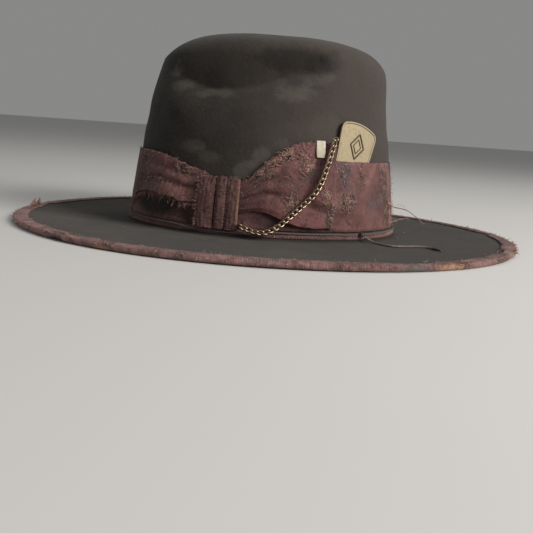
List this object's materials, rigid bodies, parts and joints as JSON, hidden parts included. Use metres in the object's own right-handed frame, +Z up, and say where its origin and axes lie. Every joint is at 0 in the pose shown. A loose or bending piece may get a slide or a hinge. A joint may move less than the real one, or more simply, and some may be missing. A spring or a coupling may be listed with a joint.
{
  "type": "pirate hat",
  "caption": "Wide flat-brimmed felt costume hat with a creased crown, distressed ribbon band and gathered bow, curb chain, brass tag and bone clip.",
  "frame": {"origin": "centre of the brim's outline, on the underside of the brim binding, which is the surface that the hat rests on", "axes": "+Z up through the crown; -X is the front of the hat and +X its back; -Y is the wearer's left side, with the bow, chain and tag"},
  "size_m": [0.392, 0.36, 0.1452],
  "materials": {
    "felt": "matt, worn, waxed and dusted fur felt",
    "ribbon_binding": "distressed ribbed ribbon, folded over the brim edge",
    "ribbon_band": "distressed, frayed ribbed ribbon with a soft sheen",
    "ribbon_underband": "narrow zigzag-stitched ribbon",
    "waxed_cord": "waxed twisted cord",
    "dark_cord": "dark waxed knot",
    "crimp_metal": "tarnished crimped metal end",
    "chain_brass": "antique brass, dark in the recesses",
    "tag_brass": "aged satin brass with scratches",
    "bone": "polished bone, slightly yellowed",
    "sweat_leather": "dark brown roan leather",
    "welt_leather": "black leather welt",
    "inner_ribbon": "small dark ribbon bow",
    "satin_lining": "dark satin"
  },
  "bodies": {
    "hat": {"felt_body": "felt", "brim_binding": "ribbon_binding", "hat_band": "ribbon_band", "underband": "ribbon_underband", "bow_left_wing": "ribbon_band", "bow_right_wing": "ribbon_band", "bow_keeper_1": "ribbon_band", "bow_keeper_2": "ribbon_band", "bow_keeper_3": "ribbon_band", "base_cord_loop": "waxed_cord", "base_cord_knot": "dark_cord", "cord_tail": "waxed_cord", "cord_tip": "crimp_metal", "sweatband": "sweat_leather", "sweatband_welt": "welt_leather", "sweatband_bow": "inner_ribbon", "lining_side": "satin_lining", "lining_tip": "satin_lining"},
    "tag": {"brass_tag": "tag_brass"},
    "clip": {"bone_clip": "bone"},
    "chain": {"chain_ring_lower": "chain_brass", "chain_ring_upper": "chain_brass", "chain_link_01": "chain_brass", "chain_link_02": "chain_brass", "chain_link_03": "chain_brass", "chain_link_04": "chain_brass", "chain_link_05": "chain_brass", "chain_link_06": "chain_brass", "chain_link_07": "chain_brass", "chain_link_08": "chain_brass", "chain_link_09": "chain_brass", "chain_link_10": "chain_brass", "chain_link_11": "chain_brass", "chain_link_12": "chain_brass", "chain_link_13": "chain_brass", "chain_link_14": "chain_brass", "chain_link_15": "chain_brass", "chain_link_16": "chain_brass", "chain_link_17": "chain_brass", "chain_link_18": "chain_brass", "chain_link_19": "chain_brass", "chain_link_20": "chain_brass", "chain_link_21": "chain_brass", "chain_link_22": "chain_brass", "chain_link_23": "chain_brass", "chain_link_24": "chain_brass", "chain_link_25": "chain_brass"}
  },
  "joints": [
    {"name": "tag_slide", "type": "slide", "parent": "hat", "child": "tag", "axis": [0.1824, 0.2279, 0.9564], "range_m": [0, 0.026]},
    {"name": "clip_slide", "type": "slide", "parent": "hat", "child": "clip", "axis": [-0.0464, 0.1919, 0.9803], "range_m": [0, 0.005]},
    {"name": "chain_swing", "type": "hinge", "parent": "hat", "child": "chain", "pos_m": [-0.01719, -0.09219, 0.01253], "axis": [-0.6953, -0.141, -0.7047], "range_deg": [0, 60]}
  ]
}
